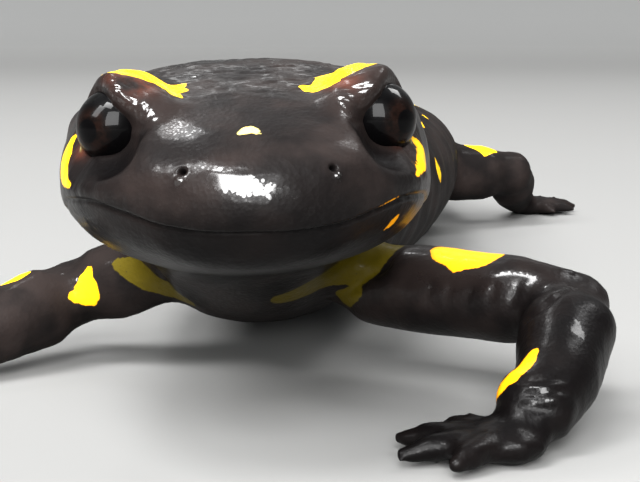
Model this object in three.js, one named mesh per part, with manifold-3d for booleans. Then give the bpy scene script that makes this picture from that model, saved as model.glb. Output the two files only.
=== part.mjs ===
// An adult fire salamander, life size, standing with its head raised and its weight on four feet.
// Millimetres. The snout points to -Y, the animal's left is +X, and the floor is z = 0.

import * as THREE from 'three';
import { LoftGeometry } from 'three/addons/geometries/LoftGeometry.js';
import { mergeVertices } from 'three/addons/utils/BufferGeometryUtils.js';
import Module from 'manifold-3d';

const wasm = await Module();
wasm.setup();

// ---------------------------------------------------------------- driving sizes

const GAP = 0.3; // clear space kept between neighbouring parts

// how the head is carried
const SNOUT_TIP = new THREE.Vector3(0.7, 0, 14.4);
const HEAD_YAW = THREE.MathUtils.degToRad(3.9);
const HEAD_PITCH = THREE.MathUtils.degToRad(-3.8);
const HEAD_ROLL = THREE.MathUtils.degToRad(-1.5);
const SPINE_RISE = 2; // the spine line runs this far above the mouth line

// the head, from the snout tip back
const JAW_BACK = 17; // where the head is widest
const SNOUT_LENGTH = 3.4; // how far back the rounding of the nose reaches
const NOSE_FULLNESS = 2.3; // 2 is an ellipse seen from above, more is blunter

// where the body is parted, behind the snout tip
const NAPE = 22.5;
const SHOULDERS = 33;
const WAIST = 68;
const VENT = 106;
const MID_TAIL = 135;
const LATE_TAIL = 165;
const TAIL_END = 1.6; // length of the rounding at the tip of the tail

const EYE = { side: 7.1, back: 8.3, height: 5.15, radius: 2.15 };
const EYE_AXIS = new THREE.Vector3(0.5, -0.86, -0.06).normalize();
const LID = { side: 6.9, back: 9, height: 5.3, radii: new THREE.Vector3(2.65, 3.6, 2.65) };
const OPENING = { outer: [2.8, 1.3], inner: [-3.1, -0.5], top: 1.95, bottom: -2.25, depth: 6 };
const PAROTOID = { side: 8.1, back: 18, height: 4.3, radii: new THREE.Vector3(2.8, 5.6, 2.6) };

const MOUTH = { front: -0.6, corner: 13.8, cornerHeight: -0.15, hinge: 18, below: -9 };

// Outline of head, trunk and tail: distance behind the snout tip, half width,
// rise above the spine, depth below it, and how square the section is.
const FORM = [
  [0, 11.0, 1.9, 3.7, 2.5],
  [3, 11.0, 3.0, 4.4, 2.5],
  [8, 11.0, 5.1, 5.1, 2.5],
  [13, 11.0, 6.6, 5.8, 2.5],
  [17, 10.9, 6.7, 6.4, 2.4],
  [22, 9.8, 6.0, 7.3, 2.3],
  [27, 8.7, 5.7, 7.8, 2.2],
  [32, 9.3, 6.0, 8.4, 2.2],
  [43, 10.6, 7.2, 8.2, 2.2],
  [60, 11.6, 7.9, 8.4, 2.2],
  [78, 11.1, 7.5, 7.9, 2.2],
  [92, 9.4, 7.0, 7.1, 2.2],
  [102, 7.6, 6.5, 6.2, 2.1],
  [112, 5.7, 5.4, 5.0, 2.0],
  [125, 4.7, 4.6, 4.4, 2.0],
  [150, 3.4, 3.4, 3.4, 2.0],
  [175, 2.1, 2.1, 2.1, 2.0],
  [195, 1.1, 1.1, 1.1, 2.0],
];
const BELLY_SQUARE = 2.05; // the underside is rounder than the back

// the spine behind the head
const SPINE = [
  new THREE.Vector3(-0.8, 31, 11.6),
  new THREE.Vector3(0.2, 42, 10.3),
  new THREE.Vector3(3.8, 62, 9.4),
  new THREE.Vector3(7.6, 80, 8.9),
  new THREE.Vector3(11.2, 95, 8.3),
  new THREE.Vector3(13.2, 106, 7.0),
  new THREE.Vector3(13.6, 119, 5.2),
  new THREE.Vector3(10.4, 133, 4.0),
  new THREE.Vector3(3.8, 146, 3.3),
  new THREE.Vector3(-3.6, 158, 2.6),
  new THREE.Vector3(-9.4, 170, 1.9),
  new THREE.Vector3(-10.6, 181, 1.2),
];

const RING_SIDES = 22;
const FINE_FACETS = 0.07; // facets flatter than this are merged, on head and trunk
const COARSE_FACETS = 0.16; // and on tail and limbs
const HEAD_STEP = 1.5;
const TAIL_STEP = 4;
const COSTAL = { first: 36, folds: 11, pitch: 5.4, depth: 0.28, ringsPerFold: 2 };

// ---------------------------------------------------------------- small helpers

// A closed three.js geometry as a solid that can be joined and cut.
function solid(geometry) {
  const bare = new THREE.BufferGeometry();
  bare.setAttribute('position', geometry.getAttribute('position'));
  bare.setIndex(geometry.getIndex());
  const merged = mergeVertices(bare, 1e-4);
  return new wasm.Manifold(new wasm.Mesh({
    numProp: 3,
    vertProperties: new Float32Array(merged.attributes.position.array),
    triVerts: new Uint32Array(merged.index.array),
  }));
}

// The same solid as a geometry for a mesh.
function geometryOf(body) {
  const mesh = body.getMesh();
  const geometry = new THREE.BufferGeometry();
  geometry.setAttribute('position', new THREE.BufferAttribute(new Float32Array(mesh.vertProperties), 3));
  geometry.setIndex(new THREE.BufferAttribute(new Uint32Array(mesh.triVerts), 1));
  geometry.computeVertexNormals();
  return geometry;
}

// The two sides of a cut through a point, with half the gap taken from each.
function cutAcross(body, point, direction) {
  const normal = direction.clone().normalize();
  const reach = normal.dot(point);
  const back = normal.clone().negate();
  return {
    before: body.trimByPlane(back.toArray(), -reach + GAP / 2),
    after: body.trimByPlane(normal.toArray(), reach + GAP / 2),
  };
}

// What is left above the floor, so that soles and tail end in flats.
function restOnFloor(body) {
  return body.trimByPlane([0, 0, 1], 0);
}

// ---------------------------------------------------------------- head, trunk and tail

const headPlace = new THREE.Matrix4()
  .makeRotationZ(HEAD_YAW)
  .multiply(new THREE.Matrix4().makeRotationX(HEAD_PITCH))
  .multiply(new THREE.Matrix4().makeRotationY(HEAD_ROLL))
  .setPosition(SNOUT_TIP);

// A point given across, back and up from the snout tip.
function onHead(side, back, height) {
  return new THREE.Vector3(side, back, height).applyMatrix4(headPlace);
}

const spine = new THREE.CatmullRomCurve3([
  onHead(0, 0, SPINE_RISE),
  onHead(0, NAPE / 2, SPINE_RISE),
  onHead(0, NAPE, SPINE_RISE),
  ...SPINE,
]);
spine.arcLengthDivisions = 600;
const spineLength = spine.getLength();

const formAt = new THREE.CubicInterpolant(
  FORM.map((row) => row[0]),
  FORM.flatMap((row) => row.slice(1)),
  4,
  new Float32Array(4),
);

// Rounding of the nose: 0 at the tip, 1 from the given length on.
function rounding(distance, length, fullness) {
  const left = Math.max(0, 1 - distance / length);
  return (1 - left ** fullness) ** 0.47;
}

// Shallow grooves down the flanks, one between each pair of ribs.
function costalGroove(distance) {
  const fold = (distance - COSTAL.first) / COSTAL.pitch;
  if (fold < 0 || fold > COSTAL.folds) return 0;
  return COSTAL.depth * (0.5 + 0.5 * Math.cos(2 * Math.PI * fold));
}

// One ring round the spine. Extra is added all round it.
function bodyRing(distance, extra) {
  const along = distance / spineLength;
  const centre = spine.getPointAt(along);
  const back = spine.getTangentAt(along);
  const level = new THREE.Vector3(0, 0, 1).cross(back).normalize().negate();
  const roll = HEAD_ROLL * (1 - THREE.MathUtils.smoothstep(distance, NAPE, SHOULDERS));
  const across = level.applyAxisAngle(back, roll);
  const up = new THREE.Vector3().crossVectors(across, back).normalize();
  const [halfWidth, rise, depth, square] = formAt.evaluate(distance);
  const tipRound = rounding(spineLength - distance, TAIL_END, 2);
  const plan = rounding(distance, JAW_BACK, NOSE_FULLNESS) * tipRound;
  const profile = rounding(distance, SNOUT_LENGTH, 2) * tipRound;
  const groove = costalGroove(distance);
  const ring = [];
  for (let side = 0; side < RING_SIDES; side += 1) {
    const angle = (2 * Math.PI * side) / RING_SIDES;
    const corner = 2 / (Math.sin(angle) > 0 ? square : BELLY_SQUARE);
    const wide = Math.abs(Math.cos(angle)) ** corner * Math.sign(Math.cos(angle));
    const high = Math.abs(Math.sin(angle)) ** corner * Math.sign(Math.sin(angle));
    const tall = high > 0 ? rise : depth;
    const flank = 1 - Math.abs(high) ** 3;
    const point = centre.clone();
    point.addScaledVector(across, -wide * (halfWidth * plan + extra - groove * flank));
    point.addScaledVector(up, high * (tall * profile + extra));
    ring.push(point);
  }
  return ring;
}

// Ring places: close together on the snout, two to a costal fold, wider apart on the tail.
function ringPlaces() {
  const places = [0.06, 0.3, 0.75, 1.4, 2.2, 3.1];
  for (let d = 3.1 + HEAD_STEP; d < COSTAL.first - HEAD_STEP / 2; d += HEAD_STEP) places.push(d);
  const step = COSTAL.pitch / COSTAL.ringsPerFold;
  for (let k = 0; k <= COSTAL.folds * COSTAL.ringsPerFold; k += 1) places.push(COSTAL.first + k * step);
  const tailStart = places.at(-1);
  const tailSteps = Math.floor((spineLength - 2 - tailStart) / TAIL_STEP);
  for (let k = 1; k <= tailSteps; k += 1) places.push(tailStart + k * TAIL_STEP);
  for (const left of [1.4, 0.8, 0.35, 0.05]) places.push(spineLength - left);
  return places;
}

function bodyLoft(extra) {
  const rings = ringPlaces().map((distance) => bodyRing(distance, extra));
  return solid(new LoftGeometry(rings, { closed: true, capStart: true, capEnd: true }));
}

const wholeBody = bodyLoft(0);
const clearOfBody = bodyLoft(GAP);

// The cut across the body at a distance behind the snout tip.
function cutBody(body, distance) {
  const along = distance / spineLength;
  return cutAcross(body, spine.getPointAt(along), spine.getTangentAt(along));
}

// ---------------------------------------------------------------- head

// A ball stretched to the given radii, set in the head on one side.
function headEllipsoid(place, radii, side, segments) {
  const ball = new THREE.SphereGeometry(1, segments, Math.round(segments * 0.7));
  ball.scale(radii.x, radii.y, radii.z);
  ball.translate(side * place.side, place.back, place.height);
  ball.applyMatrix4(headPlace);
  return solid(ball);
}

function eyeBall(side, extra) {
  const radius = EYE.radius + extra;
  return headEllipsoid(EYE, new THREE.Vector3(radius, radius, radius), side, 13);
}

// The almond opening between the lids, reaching outwards along the line of sight.
function lidOpening(side) {
  const [outer, outerHeight] = OPENING.outer;
  const [inner, innerHeight] = OPENING.inner;
  const almond = new THREE.Shape();
  almond.moveTo(side * inner, innerHeight);
  almond.quadraticCurveTo(side * inner * 0.45, OPENING.top * 1.1, 0, OPENING.top);
  almond.quadraticCurveTo(side * outer * 0.6, OPENING.top * 1.15, side * outer, outerHeight);
  almond.quadraticCurveTo(side * outer * 0.9, OPENING.bottom, 0, OPENING.bottom);
  almond.quadraticCurveTo(side * inner * 0.7, OPENING.bottom, side * inner, innerHeight);
  const opening = new THREE.ExtrudeGeometry(almond, {
    depth: OPENING.depth,
    curveSegments: 4,
    bevelEnabled: false,
  });
  const axis = new THREE.Vector3(side * EYE_AXIS.x, EYE_AXIS.y, EYE_AXIS.z);
  const level = new THREE.Vector3(0, 0, 1).cross(axis).normalize();
  const up = new THREE.Vector3().crossVectors(axis, level);
  const frame = new THREE.Matrix4().makeBasis(level, up, axis);
  frame.setPosition(side * EYE.side, EYE.back, EYE.height);
  opening.applyMatrix4(frame);
  opening.applyMatrix4(headPlace);
  return solid(opening);
}

// Everything below the mouth line and in front of the jaw hinge.
function belowMouth(extra) {
  const profile = new THREE.Shape();
  profile.moveTo(-4, MOUTH.front + extra);
  profile.quadraticCurveTo(6, MOUTH.front + extra, MOUTH.corner + extra, MOUTH.cornerHeight + extra);
  profile.lineTo(MOUTH.hinge + extra, MOUTH.below);
  profile.lineTo(-4, MOUTH.below);
  const slab = new THREE.ExtrudeGeometry(profile, { depth: 30, curveSegments: 6, bevelEnabled: false });
  slab.translate(0, 0, -15);
  const frame = new THREE.Matrix4().makeBasis(
    new THREE.Vector3(0, 1, 0),
    new THREE.Vector3(0, 0, 1),
    new THREE.Vector3(1, 0, 0),
  );
  slab.applyMatrix4(frame);
  slab.applyMatrix4(headPlace);
  return solid(slab);
}

const neckCut = cutBody(wholeBody, NAPE);
let head = neckCut.before;
for (const side of [-1, 1]) {
  head = head.add(headEllipsoid(LID, LID.radii, side, 15));
  head = head.add(headEllipsoid(PAROTOID, PAROTOID.radii, side, 12));
}
head = cutBody(head, NAPE).before;
for (const side of [-1, 1]) {
  head = head.subtract(eyeBall(side, GAP));
  head = head.subtract(lidOpening(side));
}
const lowerJaw = head.intersect(belowMouth(0));
const upperHead = head.subtract(belowMouth(GAP));

// ---------------------------------------------------------------- trunk and tail

const shoulderCut = cutBody(neckCut.after, SHOULDERS);
const waistCut = cutBody(shoulderCut.after, WAIST);
const ventCut = cutBody(waistCut.after, VENT);
const tailCut = cutBody(restOnFloor(ventCut.after), MID_TAIL);
const tipCut = cutBody(tailCut.after, LATE_TAIL);

// ---------------------------------------------------------------- limbs

const LIMB_SIDES = 11;
const DIGIT_SIDES = 6;

// A tapering round limb along a smooth line, rounded off at both ends.
function taper(points, radii, sides, rings) {
  const line = new THREE.CatmullRomCurve3(points);
  const frames = line.computeFrenetFrames(rings, false);
  const radiusAt = new THREE.CubicInterpolant(
    radii.map((radius, i) => i / (radii.length - 1)),
    radii,
    1,
    new Float32Array(1),
  );
  const loft = [];
  for (let k = 0; k <= rings; k += 1) {
    const along = k / rings;
    const nearEnd = Math.min(k, rings - k);
    const radius = radiusAt.evaluate(along)[0] * (nearEnd === 0 ? 0.55 : 1);
    const centre = line.getPointAt(along);
    const ring = [];
    for (let side = 0; side < sides; side += 1) {
      const angle = (2 * Math.PI * side) / sides;
      const point = centre.clone();
      point.addScaledVector(frames.normals[k], Math.cos(angle) * radius);
      point.addScaledVector(frames.binormals[k], Math.sin(angle) * radius);
      ring.push(point);
    }
    loft.push(ring);
  }
  return solid(new LoftGeometry(loft, { closed: true, capStart: true, capEnd: true }));
}

// Palm or sole with its digits, spread round the heading. Angles are in degrees.
function foot(palm, heading, digits) {
  const pad = new THREE.SphereGeometry(1, 9, 6);
  pad.scale(2.7, 2.5, 1.25);
  pad.rotateZ(THREE.MathUtils.degToRad(heading));
  pad.translate(palm.x, palm.y, 1.05);
  let whole = solid(pad);
  for (const { turn, length } of digits) {
    const angle = THREE.MathUtils.degToRad(heading + turn);
    const along = new THREE.Vector3(Math.cos(angle), Math.sin(angle), 0);
    const at = (reach, height) => palm.clone().addScaledVector(along, reach).setZ(height);
    const line = [at(0.8, 1.0), at(2.0, 1.1), at(2.2 + length * 0.55, 1.0), at(2.3 + length, 0.62)];
    whole = whole.add(taper(line, [1.0, 0.98, 0.85, 0.68], DIGIT_SIDES, 3));
  }
  return whole;
}

const FORE_DIGITS = [
  { turn: -52, length: 2.6 },
  { turn: -17, length: 3.9 },
  { turn: 14, length: 4.1 },
  { turn: 47, length: 2.8 },
];
const HIND_DIGITS = [
  { turn: -62, length: 2.3 },
  { turn: -33, length: 3.6 },
  { turn: -5, length: 4.4 },
  { turn: 23, length: 4.2 },
  { turn: 52, length: 2.8 },
];

const LIMBS = [
  {
    name: 'fore_left',
    parts: ['upper_arm', 'forearm', 'hand'],
    joints: [[4.5, 29.5, 6.6], [19.7, 19.8, 6.5], [16.9, 10.2, 2.7]],
    palm: [14.3, 8.6],
    heading: 183,
    digits: FORE_DIGITS,
    upperRadii: [2.4, 3.0, 2.9, 2.7],
    lowerRadii: [2.75, 2.95, 2.6, 2.15, 1.6],
  },
  {
    name: 'fore_right',
    parts: ['upper_arm', 'forearm', 'hand'],
    joints: [[-3.8, 29.0, 8.6], [-14.0, 32.8, 4.8], [-20.4, 26.2, 2.5]],
    palm: [-22.6, 24.4],
    heading: 205,
    digits: FORE_DIGITS,
    upperRadii: [2.3, 2.9, 2.8, 2.6],
    lowerRadii: [2.65, 2.85, 2.5, 2.1, 1.6],
  },
  {
    name: 'hind_left',
    parts: ['thigh', 'shank', 'foot'],
    joints: [[14.0, 94.3, 7.2], [26.3, 99.5, 6.2], [28.4, 107.6, 2.4]],
    palm: [30.0, 109.7],
    heading: 18,
    digits: HIND_DIGITS,
    upperRadii: [3.0, 3.5, 3.2, 2.8],
    lowerRadii: [2.85, 2.9, 2.5, 2.1, 1.6],
  },
  {
    name: 'hind_right',
    parts: ['thigh', 'shank', 'foot'],
    joints: [[8.0, 96.3, 7.2], [-4.2, 90.6, 6.6], [-8.8, 84.0, 2.4]],
    palm: [-10.6, 81.8],
    heading: 222,
    digits: HIND_DIGITS,
    upperRadii: [3.0, 3.5, 3.2, 2.8],
    lowerRadii: [2.85, 2.9, 2.5, 2.1, 1.6],
  },
];

// A limb as three parts, cut through its elbow or knee and its wrist or ankle.
function limbParts(limb) {
  const [root, bend, wrist] = limb.joints.map((place) => new THREE.Vector3(...place));
  const palm = new THREE.Vector3(...limb.palm, 1.2);
  const upper = taper([root, bend], limb.upperRadii, LIMB_SIDES, 5);
  const joint = new THREE.SphereGeometry(limb.upperRadii.at(-1), LIMB_SIDES, 6);
  joint.translate(bend.x, bend.y, bend.z);
  const lower = taper([bend, wrist, palm], limb.lowerRadii, LIMB_SIDES, 5);
  const shaft = upper.add(solid(joint)).add(lower);
  const whole = restOnFloor(shaft.add(foot(palm, limb.heading, limb.digits)).subtract(clearOfBody));
  const upperLine = bend.clone().sub(root).normalize();
  const lowerLine = wrist.clone().sub(bend).normalize();
  const bendCut = cutAcross(whole, bend, upperLine.add(lowerLine));
  const wristLine = lowerLine.add(palm.clone().sub(wrist).normalize());
  const wristCut = cutAcross(bendCut.after, wrist, wristLine);
  return [bendCut.before, wristCut.before, wristCut.after];
}

// ---------------------------------------------------------------- the model

const model = new THREE.Group();

function addPart(name, body, facets, { color, roughness }) {
  const material = new THREE.MeshStandardMaterial({ color, roughness, metalness: 0 });
  const mesh = new THREE.Mesh(geometryOf(body.simplify(facets)), material);
  mesh.name = name;
  model.add(mesh);
}

const SKIN = { color: 0x2a2423, roughness: 0.3 };
const EYE_SURFACE = { color: 0x120c0b, roughness: 0.08 };

addPart('head', upperHead, FINE_FACETS, SKIN);
addPart('lower_jaw', lowerJaw, FINE_FACETS, SKIN);
addPart('eye_left', eyeBall(1, 0), FINE_FACETS, EYE_SURFACE);
addPart('eye_right', eyeBall(-1, 0), FINE_FACETS, EYE_SURFACE);
addPart('neck', shoulderCut.before, FINE_FACETS, SKIN);
addPart('trunk_front', waistCut.before, FINE_FACETS, SKIN);
addPart('trunk_rear', ventCut.before, FINE_FACETS, SKIN);
addPart('tail_base', tailCut.before, COARSE_FACETS, SKIN);
addPart('tail_middle', tipCut.before, COARSE_FACETS, SKIN);
addPart('tail_tip', tipCut.after, COARSE_FACETS, SKIN);
for (const limb of LIMBS) {
  const bodies = limbParts(limb);
  bodies.forEach((body, i) => addPart(`${limb.name}_${limb.parts[i]}`, body, COARSE_FACETS, SKIN));
}

// the origin is the middle of the footprint, on the floor
const bounds = new THREE.Box3().setFromObject(model);
const middle = bounds.getCenter(new THREE.Vector3());
model.position.set(-middle.x, -middle.y, -bounds.min.z);
model.updateMatrixWorld(true);

export default model;
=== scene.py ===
import math

import bmesh
import bpy
import numpy as np
from mathutils import Matrix, Vector, noise
from mathutils.bvhtree import BVHTree


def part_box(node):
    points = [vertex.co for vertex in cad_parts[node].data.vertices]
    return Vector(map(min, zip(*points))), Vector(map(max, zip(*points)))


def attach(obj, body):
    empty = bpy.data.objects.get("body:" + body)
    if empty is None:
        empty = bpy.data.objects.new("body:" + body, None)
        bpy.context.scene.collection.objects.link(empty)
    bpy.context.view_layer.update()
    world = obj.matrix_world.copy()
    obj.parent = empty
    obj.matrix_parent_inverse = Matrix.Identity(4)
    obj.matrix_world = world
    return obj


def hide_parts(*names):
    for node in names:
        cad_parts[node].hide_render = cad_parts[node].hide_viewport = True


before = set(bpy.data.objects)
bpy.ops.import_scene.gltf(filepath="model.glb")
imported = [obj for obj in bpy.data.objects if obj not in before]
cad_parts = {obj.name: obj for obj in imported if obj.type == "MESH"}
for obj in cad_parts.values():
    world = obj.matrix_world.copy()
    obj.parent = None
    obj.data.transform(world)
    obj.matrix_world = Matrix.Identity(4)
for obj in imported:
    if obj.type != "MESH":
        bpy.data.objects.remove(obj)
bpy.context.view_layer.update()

# Fire salamander. Shapes are worked in millimetres and become metres when a piece is finished.
# In the head's own measure x is to the animal's left, y to the back and z up from the mouth.
mm = 0.001
eyeNodes = ["eye_left", "eye_right"]
fleshNodes = sorted(set(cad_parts) - set(eyeNodes))


def smooth(low, high, value):
    t = np.clip((np.asarray(value, float) - low) / (high - low), 0, 1)
    return t * t * (3 - 2 * t)


def bump(value, width):
    return np.exp(-(np.asarray(value, float) / width) ** 2)


def unit(rows):
    return rows / np.maximum(np.linalg.norm(rows, axis=-1, keepdims=True), 1e-9)


def nodeBox(name):
    low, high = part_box(name)
    return np.array(low) / mm, np.array(high) / mm


def nodeCentre(name):
    low, high = nodeBox(name)
    return (low + high) / 2


# The head's own frame comes from the two eyes.

headPlan = {
    "pitch": -3.8,           # degrees, nose up
    "eyeSide": 7.1,
    "eyeBack": 8.3,
    "eyeHeight": 5.15,
    "eyeRadius": 2.15,
    "eyeAxis": (0.5, -0.86, -0.06),
}


class HeadFrame:
    def __init__(self, plan):
        left, right = nodeCentre("eye_left"), nodeCentre("eye_right")
        across = unit(left - right)
        up = unit(np.array([0, 0, 1.0]) - across * across[2])
        back = np.cross(up, across)
        turn = math.radians(plan["pitch"])
        self.across = across
        self.back = back * math.cos(turn) + up * math.sin(turn)
        self.up = up * math.cos(turn) - back * math.sin(turn)
        middle = (left + right) / 2
        self.origin = middle - plan["eyeBack"] * self.back - plan["eyeHeight"] * self.up
        self.axes = np.array([self.across, self.back, self.up])

    def local(self, points):
        return (points - self.origin) @ self.axes.T

    def world(self, points):
        return self.origin + points @ self.axes

    def intoHead(self, rows):
        # turns directions without moving them
        return rows @ self.axes.T


head = HeadFrame(headPlan)


class Clay:
    # a mesh worked like clay, its points held as rows
    def __init__(self, mesh):
        self.mesh = mesh
        self.read()

    def read(self):
        self.points = np.empty((len(self.mesh.vertices), 3))
        self.edges = np.empty((len(self.mesh.edges), 2), int)
        points, edges = self.points.ravel(), self.edges.ravel()
        self.mesh.vertices.foreach_get("co", points)
        self.mesh.edges.foreach_get("vertices", edges)
        self.points, self.edges = points.reshape(-1, 3), edges.reshape(-1, 2)
        self.ties = np.bincount(self.edges.ravel(), minlength=len(self.points))

    def write(self):
        self.mesh.vertices.foreach_set("co", self.points.ravel())
        self.mesh.update()

    def normals(self):
        self.write()
        rows = np.empty(len(self.points) * 3)
        self.mesh.vertices.foreach_get("normal", rows)
        return rows.reshape(-1, 3)

    def around(self, values):
        # the mean of each point's neighbours
        a, b = self.edges.T
        total = np.empty_like(values)
        for k in range(values.shape[1]):
            column = values[:, k]
            total[:, k] = (np.bincount(a, column[b], len(values))
                           + np.bincount(b, column[a], len(values)))
        return total / np.maximum(self.ties, 1)[:, None]

    def relax(self, weight, rounds, swell=0.53):
        # evens the surface out and keeps its volume
        weight = np.broadcast_to(np.asarray(weight, float), len(self.points))[:, None]
        for _ in range(rounds):
            for pull in (0.5, -swell):
                self.points += pull * weight * (self.around(self.points) - self.points)

    def finer(self, chosen):
        # halves every edge that joins two of the chosen points
        self.write()
        bm = bmesh.new()
        bm.from_mesh(self.mesh)
        bm.edges.ensure_lookup_table()
        both = np.nonzero(chosen[self.edges].all(axis=1))[0]
        picked = [bm.edges[k] for k in both]
        bmesh.ops.subdivide_edges(bm, edges=picked, cuts=1, use_grid_fill=True, smooth=0.6)
        large = [f for f in bm.faces if len(f.verts) > 4]
        bmesh.ops.triangulate(bm, faces=large)
        bm.to_mesh(self.mesh)
        bm.free()
        self.read()


skinPlan = {
    "voxel": 0.54,           # millimetres
    "closeGap": 0.2,         # closes the thin cuts between the nodes
    "evenRounds": 90,
    "headRounds": 120,
    "elbowRounds": 160,
    "snoutRounds": 90,
    "neckRounds": 200,
    "limbEvening": 0.55,
    "footEvening": 0.22,
    "toePlump": 0.09,
    "toeRounds": 24,
    "formRounds": 6,
    "hollowRounds": 14,
    "eyeRounds": 3,
    "eyeFiner": ((4.4, 2.4), (3.4, 0.45)),      # how far from the eye and from its rim
    "lineFiner": 0.6,                           # how far from the mouth
    "nostrilFiner": (1.3, 0.8),
    "headBack": 23.0,
    "headBelow": -6.5,
    "headSide": 12.5,
}


def packedCopy(names, grow):
    joined = bmesh.new()
    for name in names:
        part = bmesh.new()
        part.from_mesh(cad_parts[name].data)
        bmesh.ops.remove_doubles(part, verts=part.verts, dist=0.00001)
        bmesh.ops.scale(part, vec=(1 / mm,) * 3, verts=part.verts)
        part.normal_update()
        for vert in part.verts:
            vert.co += vert.normal * grow
        mesh = bpy.data.meshes.new(name)
        part.to_mesh(mesh)
        part.free()
        joined.from_mesh(mesh)
        bpy.data.meshes.remove(mesh)
    mesh = bpy.data.meshes.new("packedFlesh")
    joined.to_mesh(mesh)
    joined.free()
    return mesh


def remeshed(mesh, voxel):
    holder = bpy.data.objects.new("clay", mesh)
    bpy.context.scene.collection.objects.link(holder)
    remesh = holder.modifiers.new("remesh", "REMESH")
    remesh.mode = "VOXEL"
    remesh.voxel_size = voxel
    ready = bpy.context.evaluated_depsgraph_get()
    result = bpy.data.meshes.new_from_object(holder.evaluated_get(ready))
    bpy.data.objects.remove(holder)
    bpy.data.meshes.remove(mesh)
    return result


def distanceTo(points, names):
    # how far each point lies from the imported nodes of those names
    mesh = packedCopy(names, 0)
    bm = bmesh.new()
    bm.from_mesh(mesh)
    tree = BVHTree.FromBMesh(bm)
    gaps = np.array([tree.find_nearest(p)[3] for p in points.tolist()])
    bm.free()
    bpy.data.meshes.remove(mesh)
    return gaps


footNodes = [n for n in fleshNodes if n.endswith(("_hand", "_foot"))]
limbNodes = [n for n in fleshNodes if n.startswith(("fore_", "hind_"))]

clay = Clay(remeshed(packedCopy(fleshNodes + eyeNodes, skinPlan["closeGap"]), skinPlan["voxel"]))
clay.points -= clay.normals() * skinPlan["closeGap"]
print("skin cast:", len(clay.points), "points")

onLimb = 1 - smooth(0.2, 2.0, distanceTo(clay.points, limbNodes))
onFoot = 1 - smooth(0.2, 1.6, distanceTo(clay.points, footNodes))
evening = 1 + onLimb * (skinPlan["limbEvening"] - 1)
evening += onFoot * (skinPlan["footEvening"] - skinPlan["limbEvening"])
clay.relax(evening, skinPlan["evenRounds"])


def headWeight(clay):
    local = head.local(clay.points)
    return (1 - smooth(skinPlan["headBack"] - 3, skinPlan["headBack"], local[:, 1])) * (
        smooth(skinPlan["headBelow"], skinPlan["headBelow"] + 1.5, local[:, 2]))


clay.relax(headWeight(clay), skinPlan["headRounds"], 0.52)
clay.relax(onLimb * (1 - onFoot), skinPlan["elbowRounds"], 0.52)
onNeck = 1 - smooth(0.5, 4.0, distanceTo(clay.points, ["neck"]))
clay.relax(onNeck, skinPlan["neckRounds"], 0.515)

local = head.local(clay.points)
onHead = ((local[:, 1] < skinPlan["headBack"]) & (local[:, 2] > skinPlan["headBelow"])
          & (abs(local[:, 0]) < skinPlan["headSide"]))
nearArms = distanceTo(clay.points, [n for n in limbNodes if n.startswith("fore_left")]) < 0.6
clay.finer(onHead | nearArms)

onToes = 1 - smooth(0.1, 0.8, distanceTo(clay.points, footNodes))
normals = clay.normals()
plump = onToes * smooth(-0.3, 0.1, normals[:, 2]) * skinPlan["toePlump"]
clay.points += normals * plump[:, None]
clay.relax(onToes, skinPlan["toeRounds"], 0.5)
print("head and near arm made finer:", len(clay.points), "points")


# Eye openings. Angles run round the eye's axis from its outer corner over the top to the front.
eyePlan = {
    # angle round, half-angle of the opening, thickness of lid
    "opening": [(0, 77, 0.1), (35, 88, 0.18), (62, 84, 0.55), (95, 61, 0.9), (124, 47, 0.9),
                (150, 49, 0.78), (181, 63, 0.5), (197, 73, 0.3), (210, 79, 0.2), (228, 77, 0.13),
                (250, 73, 0.1), (271, 67, 0.1), (292, 62, 0.1), (320, 65, 0.1), (344, 71, 0.1)],
    "edgeRound": 0.6,
    "blend": (0.5, 2.4),
    "reach": (2.75, 3.6),
    "deeper": 0.65,
    "tuck": 0.45,
    "tuckWidth": 0.22,
}


class EyeFrame:
    def __init__(self, side):
        plan = headPlan
        self.side = side
        self.centre = np.array([side * plan["eyeSide"], plan["eyeBack"], plan["eyeHeight"]])
        axis = np.array(plan["eyeAxis"])
        self.axis = unit(axis * [side, 1, 1])
        self.up = unit(np.array([0, 0, 1.0]) - self.axis * self.axis[2])
        self.outward = np.cross(self.up, self.axis) * side

    def measure(self, local):
        # distance from the eye's middle, angle from its axis and angle round it
        rows = local - self.centre
        reach = np.linalg.norm(rows, axis=1)
        tilt = np.degrees(np.arccos(np.clip(rows @ self.axis / reach, -1, 1)))
        turn = np.degrees(np.arctan2(rows @ self.up, rows @ self.outward)) % 360
        return reach, tilt, turn

    def rim(self, turn):
        table = np.array(eyePlan["opening"])
        grid = np.arange(0, 360, 2.0)
        rows = []
        for column in (1, 2):
            line = np.interp(grid, table[:, 0], table[:, column], period=360)
            for _ in range(12):
                line = line / 2 + (np.roll(line, 1) + np.roll(line, -1)) / 4
            rows.append(np.interp(turn, grid, line, period=360))
        return rows

    def fromRim(self, local):
        # millimetres outside the opening's rim, along the eye
        reach, tilt, turn = self.measure(local)
        opening, lid = self.rim(turn)
        return np.radians(tilt - opening) * headPlan["eyeRadius"], reach, turn, lid


eyes = [EyeFrame(1), EyeFrame(-1)]


def nearEyes(local, reachLimit, rimLimit):
    chosen = np.zeros(len(local), bool)
    for eye in eyes:
        gap, reach, _, _ = eye.fromRim(local)
        chosen |= (reach < reachLimit) & (abs(gap) < rimLimit)
    return chosen


def onBothSides(row):
    return [np.array(row) * [side, 1, 1] for side in (1, -1)]


def swell(points, normals, centre, radii, height):
    # a soft rise, or a dent where the height is negative, along the surface's own normals
    reach = np.linalg.norm((points - centre) / radii, axis=1)
    points += normals * (height * np.exp(-reach ** 2))[:, None]


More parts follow.
